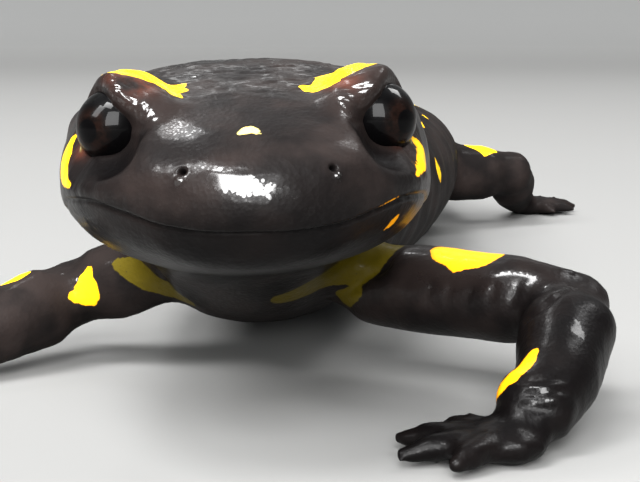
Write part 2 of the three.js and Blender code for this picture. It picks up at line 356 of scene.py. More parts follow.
def hollow(points, start, end, radius, soft, limit):
    # pushes the surface out of a round-ended rod, with a soft edge
    along = end - start
    part = np.clip((points - start) @ along / (along @ along), 0, 1)
    rows = points - start - part[:, None] * along
    reach = np.linalg.norm(rows, axis=1)
    wanted = (reach + radius + np.sqrt((reach - radius) ** 2 + soft ** 2)) / 2
    fade = 1 - smooth(radius + soft * 0.6, radius + limit, reach)
    points += unit(rows) * ((wanted - reach) * fade)[:, None]


headForm = {
    # centre, radii and height in the head's measure, for both sides
    "swells": [((5.0, 6.2, 6.0), (1.5, 1.6, 1.2), 0.62),
               ((5.3, 8.6, 7.0), (1.4, 2.2, 1.4), 0.32),
               ((5.9, 8.8, 7.8), (1.7, 2.0, 1.2), 0.32),
               ((9.0, 7.6, 2.2), (1.6, 3.0, 1.3), 0.12)],
    "oneSided": [((10.7, 9.5, 3.4), (1.6, 4.0, 2.6), -0.36),
                 ((-10.5, 13.0, 5.6), (1.8, 3.0, 1.6), -0.2),
                 ((0.3, 0.0, 0.8), (3.8, 2.2, 1.1), 0.27)],
    "hollows": [((8.0, -3.0, 4.5), (7.85, 4.6, 4.6), 2.05, 0.45, 1.6)],
}


def formHead(clay):
    normals = head.intoHead(clay.normals())
    local = head.local(clay.points)
    for centre, radii, height in headForm["swells"]:
        for middle in onBothSides(centre):
            swell(local, normals, middle, radii, height)
    for centre, radii, height in headForm["oneSided"]:
        swell(local, normals, np.array(centre), radii, height)
    for start, end, radius, soft, limit in headForm["hollows"]:
        for a, b in zip(onBothSides(start), onBothSides(end)):
            hollow(local, a, b, radius, soft, limit)
    clay.points = head.world(local)


armForm = {
    # fills the dips between the tubes of the left arm: centre in the model's measure, radius, height
    "swells": [((13.9, -70.2, 8.8), 1.9, 0.4), ((17.4, -74.9, 6.7), 1.6, 0.4),
               ((16.3, -71.4, 8.8), 1.8, -0.85), ((10.9, -80.2, 3.2), 1.3, 0.65),
               ((11.2, -79.5, 4.1), 1.3, 0.32), ((13.4, -69.5, 5.0), 1.6, 0.2)],
}


def formArm(clay):
    normals = clay.normals()
    for centre, radius, height in armForm["swells"]:
        swell(clay.points, normals, np.array(centre), radius, height)


formHead(clay)
formArm(clay)
clay.relax(headWeight(clay), skinPlan["formRounds"])
onSnout = bump(np.linalg.norm((head.local(clay.points) - [0, 0.5, 2.4]) / [4.5, 3.0, 2.6], axis=1), 1)
clay.relax(onSnout, skinPlan["snoutRounds"], 0.51)
nearHollow = nearEyes(head.local(clay.points), 6.0, 4.5)
clay.relax(nearHollow.astype(float), skinPlan["hollowRounds"], 0.5)
for reachLimit, rimLimit in skinPlan["eyeFiner"]:
    clay.finer(nearEyes(head.local(clay.points), reachLimit, rimLimit))
    close = nearEyes(head.local(clay.points), reachLimit, rimLimit)
    clay.relax(close.astype(float), skinPlan["eyeRounds"])


def setEyes(clay):
    local = head.local(clay.points)
    radius = headPlan["eyeRadius"]
    for eye in eyes:
        gap, reach, turn, lid = eye.fromRim(local)
        x = np.clip(gap / eyePlan["edgeRound"], 0, 1)
        over = radius + 0.03 + lid * np.sqrt(1 - (1 - x) ** 2)
        hidden = radius - eyePlan["tuck"] * smooth(0, eyePlan["tuckWidth"], -gap)
        target = np.where(gap < 0, hidden, over)
        start, end = eyePlan["blend"]
        weight = 1 - smooth(start, end, gap)
        near, far = eyePlan["reach"]
        deeper = eyePlan["deeper"] * smooth(0, 0.4, -gap)
        weight *= 1 - smooth(0, 1, (reach - near - deeper) / (far - near))
        ray = (local - eye.centre) / reach[:, None]
        local += ray * ((target - reach) * weight)[:, None]
    clay.points = head.world(local)


setEyes(clay)
print("eye openings:", len(clay.points), "points")


# Lines laid on the skin: the mouth, creases, and later the markings.
def curve(knots, step):
    # an even line through the knots, with a width or depth carried along in the fourth place
    knots = np.array(knots, float)
    padded = np.vstack([2 * knots[0] - knots[1], knots, 2 * knots[-1] - knots[-2]])
    rows = []
    for a, b, c, d in zip(padded, padded[1:], padded[2:], padded[3:]):
        count = max(2, int(np.linalg.norm((c - b)[:3]) / step))
        for t in np.arange(count) / count:
            rows.append(b + 0.5 * t * (c - a + t * (2 * a - 5 * b + 4 * c - d
                                                    + t * (3 * (b - c) + d - a))))
    rows.append(knots[-1])
    return np.array(rows)


class Surface:
    # the skin as it stands, for laying lines on it
    def __init__(self, clay):
        clay.write()
        bm = bmesh.new()
        bm.from_mesh(clay.mesh)
        self.tree = BVHTree.FromBMesh(bm)
        bm.free()

    def lay(self, rows, toward=None):
        # onto the nearest skin, or straight in toward another point at the same height
        placed = []
        for k, row in enumerate(rows[:, :3]):
            hit = None
            if toward is not None:
                inward = unit(toward[k] - row)
                hit = self.tree.ray_cast(Vector(row - 4 * inward), Vector(inward))[0]
            placed.append(hit or self.tree.find_nearest(Vector(row))[0])
        return np.column_stack([np.array(placed), rows[:, 3:]])


def reachLine(points, line, limit):
    # each near point's distance to the line, and the value the line carries there
    low, high = line[:, :3].min(0) - limit, line[:, :3].max(0) + limit
    near = np.nonzero(((points > low) & (points < high)).all(axis=1))[0]
    gap = np.full(len(near), 1e3)
    value = np.zeros(len(near))
    for a, b in zip(line, line[1:]):
        along = b[:3] - a[:3]
        rows = points[near] - a[:3]
        part = np.clip(rows @ along / max(along @ along, 1e-9), 0, 1)
        now = np.linalg.norm(rows - part[:, None] * along, axis=1)
        closer = now < gap
        gap[closer] = now[closer]
        value[closer] = (a[3] + part * (b[3] - a[3]))[closer]
    return near, gap, value


def score(clay, lines, width):
    # presses grooves as deep as the fourth place of each line says
    normals = clay.normals()
    deep = np.zeros(len(clay.points))
    for line in lines:
        near, gap, depth = reachLine(clay.points, line, width * 3)
        deep[near] = np.maximum(deep[near], depth * bump(gap, width))
    clay.points -= normals * deep[:, None]


def mirrored(half):
    # one line over both sides, from a half that starts in the middle
    half = np.array(half)
    return np.vstack([half[:0:-1] * [-1, 1, 1, 1], half])


mouthPlan = {
    # side, back, height and depth of the closed lips' line, from the middle to a corner
    "half": [(0, 0.7, -0.25, 0.27), (2.4, 1.1, -0.2, 0.27), (4.4, 1.6, 0.05, 0.27),
             (6.3, 2.7, 0.6, 0.27), (8.0, 4.4, 1.1, 0.25), (9.1, 6.8, 1.2, 0.18),
             (9.5, 9.6, 1.0, 0.14), (9.2, 12.4, 0.3, 0.07), (8.8, 14.4, -0.3, 0)],
    "skew": -0.02,           # the left half sits lower
    "width": 0.15,
    "lipSwell": 0.13,        # the upper lip stands over the lower
    "lipWidth": 0.55,
}

nostrilPlan = {
    "places": [(4.0, 1.2, 2.8), (-3.35, 1.0, 2.85)],
    "pit": 0.14,
    "depth": 0.5,
    "flap": ((0.22, -0.1, -0.4), 0.17, 0.13),    # a small swelling below and outside
}


def mouthLines(surface):
    knots = mirrored(mouthPlan["half"])
    knots[:, 2] += mouthPlan["skew"] * knots[:, 0]
    rows = curve(knots, 0.25)
    middle = rows[:, :3] * [0, 0, 1] + [0, 9, 0]
    rows[:, :3] = head.world(rows[:, :3])
    return [surface.lay(rows, head.world(middle))]


def refineAlong(clay, lines, reach):
    chosen = np.zeros(len(clay.points), bool)
    for line in lines:
        near, gap, _ = reachLine(clay.points, line, reach)
        chosen[near[gap < reach]] = True
    clay.finer(chosen)


surface = Surface(clay)
mouth = mouthLines(surface)
refineAlong(clay, mouth, skinPlan["lineFiner"])


def shapeMouth(clay):
    normals = clay.normals()
    height = np.zeros(len(clay.points))
    local = head.local(clay.points)
    for line in mouth:
        carried = np.column_stack([line[:, :3], head.local(line[:, :3])[:, 2]])
        near, gap, level = reachLine(clay.points, carried, 3.0)
        depth = reachLine(clay.points, line, 3.0)[2]
        above = np.where(local[near, 2] > level, 1, -0.7)
        lip = mouthPlan["lipSwell"] * (gap / mouthPlan["lipWidth"]) * np.exp(
            1 - gap / mouthPlan["lipWidth"]) * above * (depth / 0.3)
        groove = depth * bump(gap, mouthPlan["width"])
        height[near] = lip - groove
    clay.points += normals * height[:, None]


def shapeNostrils(clay):
    normals = clay.normals()
    local = head.local(clay.points)
    for place in nostrils:
        spot = head.local(surface.lay(place[None]))[0]
        offset, width, rise = nostrilPlan["flap"]
        flap = spot + np.array(offset) * [np.sign(spot[0]), 1, 1]
        height = rise * bump(np.linalg.norm(local - flap, axis=1), width)
        reach = np.linalg.norm((local - spot) * [0.8, 1, 1], axis=1)
        height -= nostrilPlan["depth"] * bump(reach, nostrilPlan["pit"])
        clay.points += normals * height[:, None]


nostrils = [head.world(np.array(p)) for p in nostrilPlan["places"]]
for reach in skinPlan["nostrilFiner"]:
    chosen = np.zeros(len(clay.points), bool)
    for place in nostrils:
        chosen |= np.linalg.norm(clay.points - place, axis=1) < reach
    clay.finer(chosen)
shapeMouth(clay)
shapeNostrils(clay)
print("mouth and nostrils:", len(clay.points), "points")


# Creases and fine relief, in the head's own measure, and those of the arm in the model's.
creasePlan = {
    # wrinkles of the two hoods: where each starts and ends, and its depth
    "hoods": [((4.9, 6.1, 6.8), (6.7, 6.0, 6.9), 0.09), ((4.9, 5.7, 6.6), (6.2, 5.8, 6.6), 0.08),
              ((4.6, 5.5, 6.3), (5.6, 5.3, 6.0), 0.08), ((4.6, 5.5, 6.3), (5.2, 4.8, 5.4), 0.08),
              ((-7.5, 6.8, 7.4), (-5.5, 5.8, 6.6), 0.06), ((-7.3, 6.7, 7.6), (-5.7, 6.3, 7.1), 0.06)],
    "nape": [(0, 23.8, 7.0, 0.1), (4.0, 23.4, 6.6, 0.08), (7.5, 22.0, 4.8, 0.02)],
    "throat": [(5.8, 27.5, -7.2, 0.1), (7.0, 25.6, -6.2, 0.33), (8.0, 25.0, -5.5, 0.36),
               (9.1, 24.3, -4.8, 0.3), (10.2, 25.5, -3.1, 0.06)],
    "elbow": [(15.9, -72.8, 8.3, 0.05), (14.9, -74.1, 8.1, 0.32), (13.9, -75.1, 7.8, 0.34),
              (13.1, -75.4, 7.1, 0.3), (12.5, -75.0, 6.5, 0.15)],
    # folds across the upper arm stand in a row from the elbow to the shoulder
    "armTops": ((12.7, -71.0, 8.0), (7.3, -68.5, 7.6)),
    "armFeet": ((12.1, -71.1, 6.5), (6.9, -68.2, 6.0)),
    "armFolds": 5,
    "armDepth": 0.16,
    # folds round the wrist lie one below another
    "wristTop": (12.4, -81.4, 4.4),
    "wristDrop": (0, -0.45, -0.7),
    "wristHalf": 1.4,
    "wristFolds": 3,
    "wristDepth": 0.2,
}


def stroke(start, end, depth):
    # a short crease, deepest halfway
    start, end = np.array(start), np.array(end)
    return np.array([(*start, depth * 0.2), (*(start + end) / 2, depth), (*end, depth * 0.2)])


def armStrokes(plan):
    (a, b), (c, d) = np.array(plan["armTops"]), np.array(plan["armFeet"])
    for t in np.linspace(0, 1, plan["armFolds"]):
        yield stroke(a + t * (b - a), c + t * (d - c), plan["armDepth"])


def wristStrokes(plan):
    for k in range(plan["wristFolds"]):
        middle = np.array(plan["wristTop"]) + k * np.array(plan["wristDrop"])
        side = np.array([plan["wristHalf"], 0.5, 0])
        yield np.array([(*(middle - side * [1, -1, 1]), 0.05), (*middle, plan["wristDepth"]),
                        (*(middle + side), 0.09)])


grainPlan = {
    "granules": (0.55, 0.016),      # size and height
    "pebbles": (1.3, 0.03),
    "crown": (5.0, 0.07),           # wrinkles across the top of the head
    # wet beads in an uneven row at the foot of the right hood
    "beadRow": ((-5.6, 5.5, 6.4), (-4.4, 4.7, 5.3)),
    "beadCount": 12,
    "beadScatter": 0.2,
    "beadSize": (0.16, 0.05),
}


def pressCreases(clay):
    plan = creasePlan
    surface = Surface(clay)
    throat = np.array(plan["throat"])
    families = [([stroke(*row) for row in plan["hoods"]] + [mirrored(plan["nape"])], True, 0.09),
                ([throat, throat * [-1, 1, 1, 1]], True, 0.4),
                ([np.array(plan["elbow"]), *armStrokes(plan), *wristStrokes(plan)], False, 0.24)]
    for family, inHead, width in families:
        lines = []
        for knots in family:
            rows = curve(knots, 0.2)
            if inHead:
                rows[:, :3] = head.world(rows[:, :3])
            lines.append(surface.lay(rows))
        score(clay, lines, width)


def cloudAt(rows, size):
    return np.array([noise.noise(row) for row in (rows / size).tolist()])


def crownWeight(local):
    # 1 on the wrinkled top of the head
    return smooth(5.2, 6.6, local[:, 2]) * smooth(5.5, 9.0, local[:, 1]) * (
        1 - smooth(19, 24, local[:, 1])) * (1 - smooth(6.0, 8.5, abs(local[:, 0])))


def raiseGrain(clay):
    plan = grainPlan
    normals = clay.normals()
    local = head.local(clay.points)
    height = np.zeros(len(local))
    for name in ("granules", "pebbles"):
        size, rise = plan[name]
        height += rise * cloudAt(clay.points, size)
    size, depth = plan["crown"]
    ridges = 1 - abs(cloudAt(local * [0.8, 2.0, 0.7], size / 3.2)) * 4
    height += crownWeight(local) * depth * (np.clip(ridges, 0, 1) - 0.5)
    size, rise = plan["beadSize"]
    start, end = np.array(plan["beadRow"])
    for k in range(plan["beadCount"]):
        aside = np.array([math.cos(2.4 * k), 0, math.sin(2.4 * k)]) * plan["beadScatter"]
        bead = start + (end - start) * k / (plan["beadCount"] - 1) + aside
        height += rise * bump(np.linalg.norm(local - bead, axis=1), size)
    quiet = nearEyes(local, 3.2, 0.35)
    height[quiet] *= 0.2
    clay.points += normals * height[:, None]


pressCreases(clay)
raiseGrain(clay)
print("creases and grain:", len(clay.points), "points")


# Markings. Each line has side, back, height and half-width, in the head's measure or in the model's.
headMarks = {
    "browRight": [(-7.85, 8.1, 8.0, 0.1), (-7.4, 8.2, 8.15, 0.5), (-6.8, 8.05, 8.3, 0.8),
                  (-6.1, 8.1, 8.25, 0.82), (-5.4, 8.15, 7.95, 0.8), (-4.8, 8.25, 7.6, 0.76),
                  (-4.2, 8.3, 7.25, 0.74), (-3.75, 8.35, 7.1, 0.6)],
    "browRightForkBack": [(-4.0, 8.6, 7.2, 0.5), (-3.25, 9.45, 7.4, 0.1)],
    "browRightForkFront": [(-4.1, 8.0, 7.05, 0.5), (-3.5, 7.05, 6.68, 0.1)],
    "browLeft": [(2.8, 8.4, 7.1, 0.06), (3.2, 8.2, 7.03, 0.42), (3.7, 8.0, 7.05, 0.85),
                 (4.3, 8.3, 7.3, 1.35), (4.9, 8.55, 7.55, 1.42), (5.4, 8.4, 7.8, 1.25),
                 (6.0, 8.3, 8.05, 1.05), (6.7, 8.4, 8.3, 0.8), (7.4, 8.6, 8.25, 0.4),
                 (7.9, 8.7, 8.0, 0.1)],
    "snoutSpot": [(-0.5, 2.45, 4.65, 0.14), (-0.2, 2.65, 4.76, 0.3), (0.06, 2.75, 4.82, 0.38),
                  (0.4, 2.45, 4.66, 0.2)],
    "cheekRight": [(-9.7, 10.2, 4.65, 0.3), (-10.0, 10.3, 4.1, 0.85), (-10.2, 10.2, 3.5, 1.1),
                   (-10.1, 9.6, 2.9, 0.8), (-9.9, 8.6, 2.45, 0.45), (-9.6, 7.4, 2.1, 0.12)],
    "cheekLeft": [(8.9, 8.6, 4.3, 0.12), (9.3, 9.1, 3.9, 0.35), (9.6, 9.4, 3.4, 0.55),
                  (9.55, 8.4, 2.9, 0.5), (9.3, 6.9, 2.5, 0.3), (8.9, 5.6, 2.15, 0.1)],
    "glandRight": [(-8.8, 17.4, 6.8, 0.5), (-8.8, 18.6, 6.8, 1.2), (-8.6, 20.2, 6.6, 1.4),
                   (-8.2, 21.8, 6.4, 1.0), (-7.4, 23.4, 6.2, 0.4)],
    "glandLeft": [(8.4, 18.2, 7.0, 0.5), (8.2, 19.6, 6.9, 1.1), (7.9, 21.2, 6.7, 1.2),
                  (7.2, 23.0, 6.4, 0.5)],
    "throatLeft": [(2.2, 24.4, -6.7, 0.8), (4.4, 24.4, -5.9, 1.4), (6.2, 24.8, -5.0, 1.5),
                   (8.0, 25.4, -4.3, 1.35), (9.7, 26.2, -3.8, 0.9)],
    "throatLeftBelow": [(6.2, 26.4, -7.2, 0.7), (7.3, 25.3, -6.5, 0.5)],
    "throatRight": [(-9.2, 29.4, -4.4, 0.5), (-7.6, 28.6, -5.2, 1.1), (-6.0, 28.2, -6.0, 1.2),
                    (-4.4, 28.0, -6.9, 0.9)],
    "lipLeft": [(6.6, 2.9, 0.65, 0.05), (7.1, 3.4, 0.8, 0.13), (7.7, 4.0, 1.0, 0.09)],
    "jawLeft": [(7.05, 5.1, -0.6, 0.16), (7.4, 5.3, -0.3, 0.28), (7.65, 5.4, 0.0, 0.2)],
}

bodyMarks = {
    "upperArmLeft": [(9.0, -66.9, 9.5, 1.7), (9.7, -67.4, 9.5, 2.1), (10.3, -67.8, 9.4, 1.7)],
    "forearmLeft": [(12.4, -79.0, 5.4, 0.34), (11.9, -79.6, 4.9, 0.52), (11.4, -80.1, 4.2, 0.5),
                    (11.0, -80.3, 3.6, 0.42), (10.5, -80.3, 2.7, 0.1)],
    "upperArmRight": [(-17.2, -61.3, 5.3, 0.5), (-16.2, -61.0, 5.3, 0.8), (-16.3, -60.8, 6.2, 0.8),
                      (-16.2, -60.8, 7.0, 0.35)],
    "flankLeft": [(10.6, -32.8, 11.2, 1.1), (10.8, -31.0, 10.6, 0.8)],
}

markTone = {
    # how far from lemon to orange; then above 0 how much painted shade darkens the yellow, below 0 how pale
    # the real cream is
    "upperArmLeft": (0.75, 0), "forearmLeft": (1.0, 0), "upperArmRight": (0.3, 0),
    "lipLeft": (0.95, 0), "jawLeft": (0.95, 0),
    "cheekRight": (0.3, 0), "cheekLeft": (0.45, 0),
    # the throat patches are darkened with painted shade
    "throatLeft": (0.25, 1), "throatLeftBelow": (0.25, 1), "throatRight": (0.1, 1),
    "snoutSpot": (0.1, -0.6),
}


# Blotches of the back and tail, in two uneven rows: how far along the spine, how far aside,
# length, half-width and how far each end leans inward.
backPlan = {
    "spine": [(-4.7, -59.5, 11.6), (-3.7, -48.5, 10.3), (-0.1, -28.5, 9.4), (3.7, -10.5, 8.9),
              (7.3, 4.5, 8.3), (9.3, 15.5, 7.0), (9.7, 28.5, 5.2), (6.5, 42.5, 4.0),
              (-0.1, 55.5, 3.3), (-7.5, 67.5, 2.6), (-13.3, 79.5, 1.9), (-14.5, 90.5, 1.2)],
    "blotches": [(5.5, 3.4, 4.0, 1.1, 0.6), (13.5, 3.6, 6.0, 1.4, -0.5), (22.5, 4.9, 4.0, 1.2, 0.7),
                 (31.5, 3.9, 8.0, 1.5, 0.8), (43.0, 4.7, 4.5, 1.3, -0.6), (52.5, 4.1, 7.0, 1.4, 0.4),
                 (64.5, 4.0, 6.0, 1.2, -0.6), (75.0, 2.6, 6.5, 1.0, 0.3), (87.0, 2.0, 5.0, 0.9, 0.3),
                 (98.5, 1.5, 6.5, 0.8, 0.2), (113.0, 0.9, 5.5, 0.7, 0.2),
                 (1.0, -4.0, 4.5, 1.3, -0.6), (8.5, -4.6, 5.5, 1.4, 0.7), (18.5, -3.9, 6.5, 1.5, -0.4),
                 (29.0, -4.8, 4.5, 1.3, 0.8), (38.0, -4.0, 6.5, 1.5, 0.5), (49.0, -4.8, 4.0, 1.2, -0.7),
                 (58.0, -4.0, 6.5, 1.3, 0.6), (69.5, -3.2, 5.5, 1.1, -0.4), (81.0, -2.2, 5.5, 0.9, -0.3),
                 (92.5, -1.6, 5.0, 0.8, 0.2), (105.5, -1.1, 6.0, 0.7, 0.2), (121.0, 0.2, 8.0, 0.5, 0.0)],
    "flankSpots": [(15.0, 7.6, 2.0, 0.7, 0.0), (37.5, 8.0, 2.5, 0.8, 0.0), (48.5, 7.6, 1.5, 0.6, 0.0),
                   (24.5, -7.8, 2.0, 0.8, 0.0), (44.0, -8.0, 2.5, 0.7, 0.0), (12.0, -7.4, 1.5, 0.6, 0.0)],
    "unevenness": (2.3, 1.1),    # size and how far the edges wander
    "markRise": 8.0,             # lines start this far above the spine and drop on to the skin
    "legMarkRise": 6.0,
    "legs": {"hind_left_thigh": (2.4, 1.5), "hind_right_thigh": (2.2, 1.5),
             "hind_left_shank": (1.6, 1.0), "hind_right_shank": (1.4, 1.0),
             "fore_right_forearm": (1.4, 0.8)},
}


def backLines(surface):
    spine = curve([(*p, 0) for p in backPlan["spine"]], 0.5)[:, :3]
    run = np.append(0, np.cumsum(np.linalg.norm(np.diff(spine, axis=0), axis=1)))
    lines = {}
    for name in ("blotches", "flankSpots"):
        for k, (along, aside, length, half, lean) in enumerate(backPlan[name]):
            knots = []
            for t, share in ((-0.5, 0.5), (-0.2, 1.0), (0.15, 0.8), (0.5, 0.35)):
                s = along + t * length
                at = np.array([np.interp(s, run, spine[:, i]) for i in range(3)])
                ahead = np.array([np.interp(s + 1, run, spine[:, i]) for i in range(3)])
                left = np.cross(unit(ahead - at), (0, 0, 1.0))
                across = aside - math.copysign(lean * (2 * t) ** 2, aside)
                at = at - left * across if left[0] < 0 else at + left * across
                knots.append((*at, half * share))
            rows = curve(knots, 0.3)
            rows[:, 2] += backPlan["markRise"]
            lines[name + str(k)] = surface.lay(rows, rows[:, :3] - [0, 0, 1.0])
    for name, (length, half) in backPlan["legs"].items():
        low, high = nodeBox(name)
        middle = (low + high) / 2
        lean = unit(np.array([high[0] - low[0], 0.4 * (high[1] - low[1]), 0]))
        knots = [(*(middle + lean * t * length + [0, 0, backPlan["legMarkRise"]]), half * share)
                 for t, share in ((-0.5, 0.6), (-0.1, 1.0), (0.5, 0.5))]
        rows = curve(knots, 0.3)
        lines[name] = surface.lay(rows, rows[:, :3] - [0, 0, 1.0])
    return lines


def laidLines(surface, headLines, bodyLines):
    lines = {}
    for name, knots in headLines.items():
        rows = curve(knots, 0.3)
        rows[:, :3] = head.world(rows[:, :3])
        lines[name] = surface.lay(rows)
    for name, knots in bodyLines.items():
        lines[name] = surface.lay(curve(knots, 0.3))
    return lines


def depthInside(points, lines):
    # how far inside the nearest line's edge each point is, in millimetres, and which line that is
    inside = np.full(len(points), -2.0)
    owner = np.full(len(points), -1)
    for k, rows in enumerate(lines.values()):
        near, gap, half = reachLine(points, rows, 3.6)
        depth = half - gap
        better = depth > inside[near]
        inside[near[better]] = depth[better]
        owner[near[better]] = k
    return inside, owner


# Where water lies on the skin and shines.
headWet = {
    "snout": [(-2.0, 0.4, 2.6, 0.4), (-1.5, 0.2, 2.5, 0.62), (-0.7, 0, 2.25, 0.57), (0.3, 0, 2.0, 0.47),
              (1.2, 0, 1.8, 0.35), (2.1, 0.1, 1.7, 0.2)],
    "hoodRight": [(-7.5, 7.0, 7.6, 0.3), (-6.6, 6.2, 7.2, 0.57), (-5.9, 5.8, 6.6, 0.55),
                  (-5.2, 5.2, 6.0, 0.44), (-4.8, 4.8, 5.5, 0.25)],
    "hoodLeft": [(6.7, 6.1, 7.0, 0.3), (6.1, 6.0, 6.8, 0.58), (5.5, 5.8, 6.6, 0.55), (5.0, 5.6, 6.5, 0.35)],
    "hoodLeftFork": [(4.7, 5.5, 6.3, 0.22), (5.0, 5.1, 5.8, 0.24), (5.4, 4.9, 5.4, 0.18)],
    "nostrilLeft": [(4.2, 0.9, 2.45, 0.26), (4.3, 0.9, 2.4, 0.26)],
    "nostrilRight": [(-3.6, 0.7, 2.45, 0.3), (-3.7, 0.7, 2.4, 0.3)],
}

bodyWet = {
    "upperArm": [(6.6, -68.0, 7.9, 0.3), (8.0, -69.0, 7.7, 0.54), (9.6, -69.9, 7.8, 0.6),
                 (11.4, -70.6, 8.2, 0.5), (13.2, -70.9, 8.2, 0.4), (14.3, -72.0, 8.1, 0.2)],
    "elbow": [(13.3, -74.4, 7.9, 0.1), (14.3, -74.0, 8.2, 0.22), (15.8, -72.6, 8.5, 0.25)],
    "forearm": [(14.3, -76.7, 7.2, 0.3), (14.8, -77.2, 7.0, 0.5), (15.2, -78.2, 6.3, 0.35)],
    "wristHigh": [(11.9, -81.6, 4.0, 0.15), (12.8, -81.9, 4.0, 0.2)],
    "wristLow": [(11.9, -82.1, 3.4, 0.15), (12.9, -82.3, 3.4, 0.2)],
    "upperArmRight": [(-17.2, -60.9, 6.2, 0.2), (-16.5, -60.7, 6.9, 0.35)],
}


# Shader maths reads as plain sums: a wire is a socket that takes +, - and *.
class Wire:
    def __init__(self, paint, socket):
        self.paint = paint
        self.socket = socket

    def sum(self, operation, *values):
        return self.paint.node("ShaderNodeMath", {"operation": operation}, dict(enumerate(values)))

    def __add__(self, other):
        return self.sum("ADD", self, other)

    __radd__ = __add__

    def __sub__(self, other):
        return self.sum("SUBTRACT", self, other)

    def __rsub__(self, other):
        return self.sum("SUBTRACT", other, self)

    def __mul__(self, other):
        return self.sum("MULTIPLY", self, other)

    __rmul__ = __mul__

    def step(self, low, high):
        # 0 below low, 1 above high, smooth between
        return self.paint.node("ShaderNodeMapRange", {"interpolation_type": "SMOOTHSTEP"},
                               {"Value": self, "From Min": low, "From Max": high})


class Paint:
    # one material and its nodes
    def __init__(self, name):
        self.material = bpy.data.materials.new(name)
        self.material.use_nodes = True
        self.tree = self.material.node_tree
        self.tree.nodes.clear()

    def node(self, kind, settings=None, sockets=None, out=0):
        made = self.tree.nodes.new(kind)
        for key, value in (settings or {}).items():
            if key == "stops":
                ramp = made.color_ramp
                while len(ramp.elements) < len(value):
                    ramp.elements.new(1)
                for element, (place, colour) in zip(ramp.elements, value):
                    element.position, element.color = place, (*colour, 1)
            else:
                setattr(made, key, value)
        byName = {s.identifier: s for s in made.inputs}
        for key, value in (sockets or {}).items():
            socket = made.inputs[key] if isinstance(key, int) else byName.get(key) or made.inputs[key]
            if isinstance(value, Wire):
                self.tree.links.new(value.socket, socket)
            elif isinstance(value, tuple) and len(value) == 3 and socket.type == "RGBA":
                socket.default_value = (*value, 1)
            else:
                socket.default_value = value
        given = {s.identifier: s for s in made.outputs}
        given.update(enumerate(made.outputs))
        return Wire(self, given.get(out))

    def mix(self, share, a, b):
        return self.node("ShaderNodeMix", {"data_type": "RGBA"},
                         {"Factor_Float": share, "A_Color": a, "B_Color": b}, "Result_Color")

    def place(self):
        return self.node("ShaderNodeTexCoord", out="Object")

    def value(self, name):
        return self.node("ShaderNodeAttribute", {"attribute_name": name}, out="Fac")

    def cloud(self, place, size, detail=2.0, rough=0.5):
        # soft noise whose patches are about that many millimetres across
        return self.node("ShaderNodeTexNoise", {}, {"Vector": place, "Scale": 1 / (size * mm),
                                                    "Detail": detail, "Roughness": rough}, "Fac")

    def cells(self, place, size, feature="F1"):
        return self.node("ShaderNodeTexVoronoi", {"feature": feature},
                         {"Vector": place, "Scale": 1 / (size * mm)}, "Distance")

    def stretch(self, place, scale):
        return self.node("ShaderNodeMapping", {}, {"Vector": place, "Scale": scale})

    def relief(self, height, depth, strength, under=None):
        sockets = {"Height": height, "Distance": depth * mm, "Strength": strength}
        if under:
            sockets["Normal"] = under
        return self.node("ShaderNodeBump", {}, sockets)

    def finish(self, sockets):
        surface = self.node("ShaderNodeBsdfPrincipled", {}, sockets)
        self.node("ShaderNodeOutputMaterial", {}, {"Surface": surface})
        return self.material


skinTones = {
    # near-black, used as painted shade
    "shadeBlack": (0.0012, 0.0010, 0.0011),
    "black": (0.0048, 0.0038, 0.0037),
    "brown": (0.0150, 0.0108, 0.0098),
    "rust": (0.080, 0.021, 0.011),
    "lemon": (0.93, 0.66, 0.008),
    "orange": (0.93, 0.36, 0.004),
    "pale": (0.66, 0.58, 0.22),
    # yellow darkened as painted shade, for the throat patches
    "shadedYellow": (0.080, 0.060, 0.004),
    # pale lid edge, a painted highlight
    "rim": (0.30, 0.27, 0.10),
}


